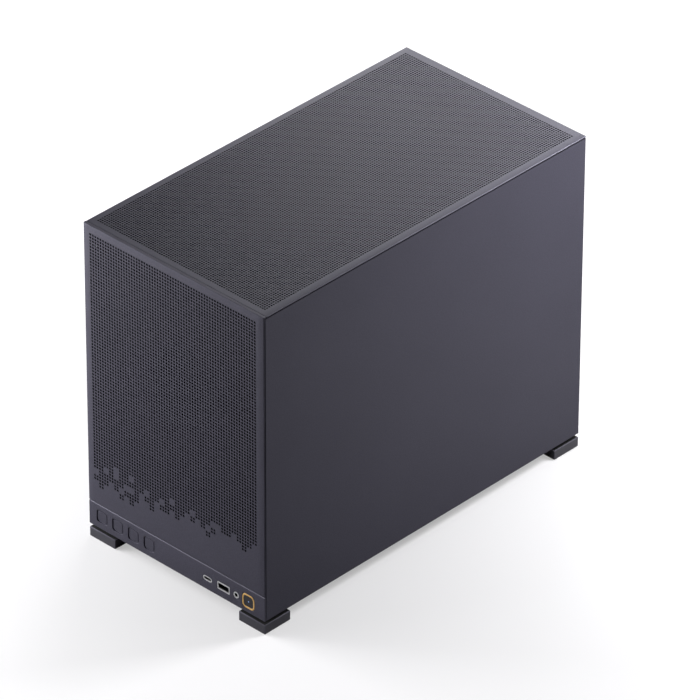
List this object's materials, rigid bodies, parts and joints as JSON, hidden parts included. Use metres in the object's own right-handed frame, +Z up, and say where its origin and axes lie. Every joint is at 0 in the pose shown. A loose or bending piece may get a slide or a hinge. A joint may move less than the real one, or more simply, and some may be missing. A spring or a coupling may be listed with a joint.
{
  "type": "micro atx pc case",
  "caption": "Compact upright micro ATX computer case with punched front and top covers, front sockets and a ringed power button.",
  "frame": {"origin": "on the floor, under the middle of the case", "axes": "+X to the right seen from the front, +Y towards the back, +Z up"},
  "size_m": [0.207, 0.386, 0.3145],
  "materials": {
    "cover_paint": "fine powder coat, dark grey",
    "frame_paint": "black powder coat",
    "foot_plastic": "fine grained moulding",
    "black_plastic": "moulded, fine grain",
    "filter_mesh": "fine woven nylon mesh",
    "foot_rubber": "matt",
    "bright_metal": "plated",
    "standoff_brass": "turned",
    "screw_black": "black plated",
    "circuit_board": "lacquered",
    "ring_orange": "anodised, satin",
    "cap_black": "satin moulding",
    "lens": "clear, lit pale blue"
  },
  "bodies": {
    "case": {"ac_inlet": "black_plastic", "audio_jack": "bright_metal", "base_pan": "frame_paint", "drive_bracket": "frame_paint", "filter_rail_left": "frame_paint", "filter_rail_right": "frame_paint", "foot_front_left": "foot_plastic", "foot_front_right": "foot_plastic", "foot_pad_front_left": "foot_rubber", "foot_pad_front_right": "foot_rubber", "foot_pad_rear_left": "foot_rubber", "foot_pad_rear_right": "foot_rubber", "foot_rear_left": "foot_plastic", "foot_rear_right": "foot_plastic", "foot_screws": "screw_black", "front_catches": "black_plastic", "front_frame": "frame_paint", "inlet_pins": "bright_metal", "inlet_screws": "screw_black", "io_board": "circuit_board", "io_strip": "cover_paint", "left_catches": "black_plastic", "motherboard_tray": "frame_paint", "power_ring": "ring_orange", "power_switch": "black_plastic", "psu_bracket": "frame_paint", "rear_panel": "frame_paint", "rear_rims": "frame_paint", "right_catches": "black_plastic", "slot_cover_1": "frame_paint", "slot_cover_2": "frame_paint", "slot_cover_3": "frame_paint", "slot_cover_4": "frame_paint", "slot_hood": "frame_paint", "slot_shelf": "frame_paint", "standoffs": "standoff_brass", "thumbscrews": "screw_black", "top_catches": "black_plastic", "top_frame": "frame_paint", "usb_a_port": "bright_metal", "usb_c_port": "bright_metal"},
    "front_cover": {"front_return": "cover_paint", "front_rim": "cover_paint", "front_panel": "cover_paint", "front_filter": "filter_mesh", "front_studs": "bright_metal"},
    "top_cover": {"top_rim": "cover_paint", "top_panel": "cover_paint", "top_filter": "filter_mesh", "top_studs": "bright_metal"},
    "left_cover": {"left_side_panel": "cover_paint", "left_studs": "bright_metal"},
    "right_cover": {"right_side_panel": "cover_paint", "right_studs": "bright_metal"},
    "floor_filter": {"bottom_filter": "black_plastic", "bottom_filter_mesh": "filter_mesh"},
    "button": {"power_button": "cap_black", "led_lens": "lens", "switch_plunger": "black_plastic"}
  },
  "joints": [
    {"name": "front_cover_pull", "type": "slide", "parent": "case", "child": "front_cover", "axis": [0, -1, 0], "range_m": [0, 0.06]},
    {"name": "top_cover_lift", "type": "slide", "parent": "case", "child": "top_cover", "axis": [0, 0, 1], "range_m": [0, 0.06]},
    {"name": "left_cover_pull", "type": "slide", "parent": "case", "child": "left_cover", "axis": [-1, 0, 0], "range_m": [0, 0.06]},
    {"name": "right_cover_pull", "type": "slide", "parent": "case", "child": "right_cover", "axis": [1, 0, 0], "range_m": [0, 0.06]},
    {"name": "floor_filter_slide", "type": "slide", "parent": "case", "child": "floor_filter", "axis": [0, 1, 0], "range_m": [0, 0.35]},
    {"name": "power_button_press", "type": "slide", "parent": "case", "child": "button", "axis": [0, 1, 0], "range_m": [0, 0.0012], "stiffness_N_per_m": 1200, "springref_m": -0.0005}
  ]
}
